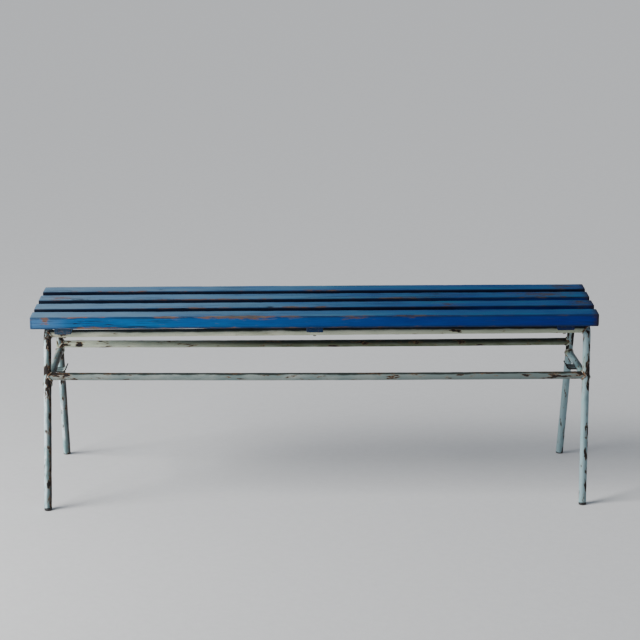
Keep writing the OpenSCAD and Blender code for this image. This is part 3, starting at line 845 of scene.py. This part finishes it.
bead_tree = make_bead_tree()
painted_weld = weld_paint()
hoop_lines = {hand: hoop_line(row) for hand, row in hoop_rows.items()}
rail_rings = []
for left_end, right_end in rail_ends.values():
    rail_rings.append((joint_ring(left_end, right_end - left_end, hoop_lines["left"]), True))
    rail_rings.append((joint_ring(right_end, left_end - right_end, hoop_lines["right"]), True))
strut_rings = []
for hand, (front_end, rear_end) in strut_ends.items():
    strut_rings.append((joint_ring(front_end, rear_end - front_end, hoop_lines[hand]), True))
    strut_rings.append((joint_ring(rear_end, front_end - rear_end, hoop_lines[hand]), True))
for node, rings, seed in (("rail_welds", rail_rings, 1), ("strut_welds", strut_rings, 2)):
    beads = grown(node + "_beads", bead_tree, rings, Radius=bead_r, Ripple=ripple, Seed=seed,
                  Material=painted_weld)
    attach(beads, "root")
    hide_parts(node)

# ----------------------------------------
# Feet. A black rubber plug in the end of each leg, its head as wide as the tube and worn flat
# on the ground.
plug_rim, plug_sides, rim_steps = 0.0014, 48, 5
rubber_black, dust_grey = (0.012, 0.012, 0.013), (0.16, 0.145, 0.125)


def rubber(name):
    material, tree, where = new_paint(name)
    dust = cloud(tree, where, (90, 90, 90), 2.7, 5, 0.6)
    pit = cloud(tree, where, (700, 700, 700), 5.2, 3, 0.6)
    low_down = step(tree, split(tree, where)["Z"], 0.004, 0.0)
    dusty = times(tree, step(tree, scaled(tree, low_down, 0.15, dust), 0.5, 0.75), 0.25)
    colour = tint(tree, dusty, rubber_black, dust_grey)
    coated(tree, colour, scaled(tree, dusty, 0.3, 0.55), times(tree, pit, 0.00015))
    return material


foot_rubber = rubber("black_rubber")
for hand, row in hoop_rows.items():
    for place, side in leg_sides:
        foot = leg_at(row, side, 0.0)
        leg = (leg_at(row, side, 0.1) - foot).normalized()
        over = leg.cross(Vector((0, 1, 0))).normalized()
        rings, count = [], plug_sides
        for outward in ring_of(over, over.cross(leg), count):
            surface = foot + outward * tube_skin_r
            bottom = surface - leg * (surface.z / leg.z)
            top = surface + leg * (foot_gap - 0.0001)
            line = []
            for j in range(rim_steps + 1):
                angle = math.pi / 2 * j / rim_steps
                inset = plug_rim * (1 - math.sin(angle))
                line.append(bottom - outward * inset + leg * plug_rim * (1 - math.cos(angle)))
            line += [bottom.lerp(top, share) for share in (0.45, 0.62, 0.8, 0.93)]
            line += [top - outward * 0.0003, top - outward * 0.0015]
            rings.append([Vector((p.x, p.y, max(p.z, 0.0))) for p in line])
        levels = len(rings[0])
        points = [tuple(p) for line in rings for p in line]
        faces = []
        for i in range(count):
            this, following = i * levels, (i + 1) % count * levels
            faces += [(this + j, following + j, following + j + 1, this + j + 1) for j in range(levels - 1)]
        faces.append(tuple(i * levels for i in reversed(range(count))))
        faces.append(tuple(i * levels + levels - 1 for i in range(count)))
        mesh = bpy.data.meshes.new(hand + place + "_plug")
        mesh.from_pydata(points, [], faces)
        mesh.polygons.foreach_set("use_smooth", [len(f) == 4 for f in faces])
        mesh.materials.append(foot_rubber)
        plug = in_scene(f"{hand}_{place}_plug", mesh)
        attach(plug, "root")
        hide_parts(f"{hand}_{place}_foot")

# ----------------------------------------
# Screws. Pan-head zinc screws hold the slats from under the cleats, eight to a cleat, and two
# longer ones come up through the top rails into each cleat.
head_r, head_h, shank_r, screw_gap = 0.004, 0.0025, 0.0021, 0.01
zinc_grey, screw_rust, screw_orange = (0.36, 0.35, 0.33), (0.07, 0.035, 0.018), (0.24, 0.11, 0.045)


def make_screw_tree():
    """One screw at every point of the path, head down, each turned its own way."""
    tree, given = shape_tree("screws", ("Head Radius", "Head Height", "Shank Radius", "Shank", "Seed",
                                        "Material"))
    tip = vector_of(tree, z=times(tree, given["Head Height"], -1.0))

    def turned(start, end, count, radius, scale, sides):
        """Closed round shape along a line, with its own scale at each of count points."""
        curve = geo(tree, "CurvePrimitiveLine", {"Start": start, "End": end})
        curve = geo(tree, "ResampleCurve", {"Curve": curve, "Count": count})
        curve = geo(tree, "SetCurveRadius", {"Curve": curve, "Radius": scale})
        return geo(tree, "CurveToMesh", {
            "Curve": curve, "Profile Curve": circle(tree, sides, radius),
            "Scale": geo(tree, "InputRadius"), "Fill Caps": True})
    share = put(tree, "GeometryNodeSplineParameter")["Factor"]
    dome = less(tree, 1.0, maths(tree, "POWER", less(tree, 1.0, share), 3.0))
    dome = maths(tree, "POWER", larger(tree, dome, 0.02), 0.5)
    head = turned(tip, vector_of(tree), 9, given["Head Radius"], dome, 24)
    pin = turned(vector_of(tree, z=-0.0003), vector_of(tree, z=given["Shank"]), 3, given["Shank Radius"],
                 1.0, 12)
    # Cross recess cut into the head
    cut = tree.nodes.new("GeometryNodeMeshBoolean")
    cut.operation = "DIFFERENCE"
    tree.links.new(head, cut.inputs[0])
    for size in ((0.0009, 0.0040, 0.0016), (0.0040, 0.0009, 0.0016)):
        bar = geo(tree, "MeshCube", {"Size": size})
        bar = geo(tree, "Transform", {"Geometry": bar, "Translation": tip})
        tree.links.new(bar, cut.inputs[1])
    both = tree.nodes.new("GeometryNodeJoinGeometry")
    for part in (cut.outputs[0], pin):
        tree.links.new(part, both.inputs[0])
    spin = put(tree, "FunctionNodeRandomValue", {"Min": (0.0, 0.0, 0.0), "Max": (0.0, 0.0, 6.28),
                                                 "Seed": given["Seed"]}, data_type="FLOAT_VECTOR")[0]
    many = geo(tree, "InstanceOnPoints", {"Points": given["Path"], "Instance": both.outputs[0],
                                          "Rotation": spin})
    return close_tree(tree, many, given)


def zinc(name):
    material, tree, where = new_paint(name)
    bloom = cloud(tree, where, (380, 380, 380), 3.6, 5, 0.65)
    speck = cloud(tree, where, (1500, 1500, 1500), 6.1, 3, 0.6)
    rust = step(tree, bloom, 0.46, 0.62)
    colour = tint(tree, rust, zinc_grey, tint(tree, speck, screw_rust, screw_orange))
    height = scaled(tree, speck, 0.00005, times(tree, bloom, 0.0001))
    coated(tree, colour, scaled(tree, rust, 0.4, 0.38), height, Metallic=0.75)
    return material


screw_tree = make_screw_tree()
rusty_zinc = zinc("rusty_zinc")
slat_points, frame_points = [], []
for cleat in ("left_cleat", "middle_cleat", "right_cleat"):
    low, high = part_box(cleat)
    centre_x = (low.x + high.x) / 2
    for node, *_ in slat_rows:
        slat_low, slat_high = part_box(node)
        middle_y = (slat_low.y + slat_high.y) / 2
        slat_points += [Vector((centre_x + gap, middle_y, low.z + 0.0001)) for gap in (-screw_gap, screw_gap)]
    for place in ("front", "rear"):
        left_end, right_end = rail_ends[place + "_top_rail"]
        on_rail = left_end.lerp(right_end, (centre_x - left_end.x) / (right_end.x - left_end.x))
        frame_points.append(on_rail - Vector((0, 0, tube_r)))
for node, points, shank in (("slat_screws", slat_points, 0.029), ("frame_screws", frame_points, 0.044)):
    screws = grown(node + "_set", screw_tree, [([p], False) for p in points],
                   **{"Head Radius": head_r, "Head Height": head_h, "Shank Radius": shank_r, "Shank": shank,
                      "Seed": 3, "Material": rusty_zinc})
    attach(screws, "root")
    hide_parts(node)

# ----------------------------------------
# Studio. A pale, faintly mottled floor, a broad sun from the left, a soft light near the left end
# and a weak sky, so that the left of every tube is bright and its right side falls into shade.
floor_shade, floor_pale = (0.72, 0.72, 0.72), (0.80, 0.80, 0.80)
warm_white = (1.0, 0.99, 0.97)
floor_material, tree, where = new_paint("pale_floor")
grit = cloud(tree, where, (60, 60, 60), 1.0, 5, 0.6)
coated(tree, tint(tree, grit, floor_shade, floor_pale), 0.75, times(tree, grit, 0.0004))
floor_mesh = bpy.data.meshes.new("floor")
floor_mesh.from_pydata([(-30, -30, 0), (30, -30, 0), (30, 40, 0), (-30, 40, 0)], [], [(0, 1, 2, 3)])
floor_mesh.materials.append(floor_material)
floor = in_scene("floor", floor_mesh)

sky = bpy.data.worlds.new("sky")
sky.use_nodes = True
sky.node_tree.nodes["Background"].inputs["Color"].default_value = (0.80, 0.88, 1.0, 1)
sky.node_tree.nodes["Background"].inputs["Strength"].default_value = 0.30
bpy.context.scene.world = sky


def shine(name, kind, place, aim, power, colour, **shape):
    """A light at a place, turned to what it is aimed at."""
    light = bpy.data.lights.new(name, kind)
    light.energy, light.color = power, colour
    for key, value in shape.items():
        setattr(light, key, value)
    lamp = in_scene(name, light)
    lamp.location = place
    lamp.rotation_euler = (Vector(aim) - Vector(place)).to_track_quat("-Z", "Y").to_euler()


shine("broad_daylight", "SUN", (-3.0, -0.9, 2.1), (0, 0, 0), 3.0, warm_white, angle=math.radians(28))
shine("near_window", "AREA", (-2.1, -1.1, 1.3), (-0.3, 0, 0.35), 42, warm_white, shape="RECTANGLE", size=1.3,
      size_y=1.1)
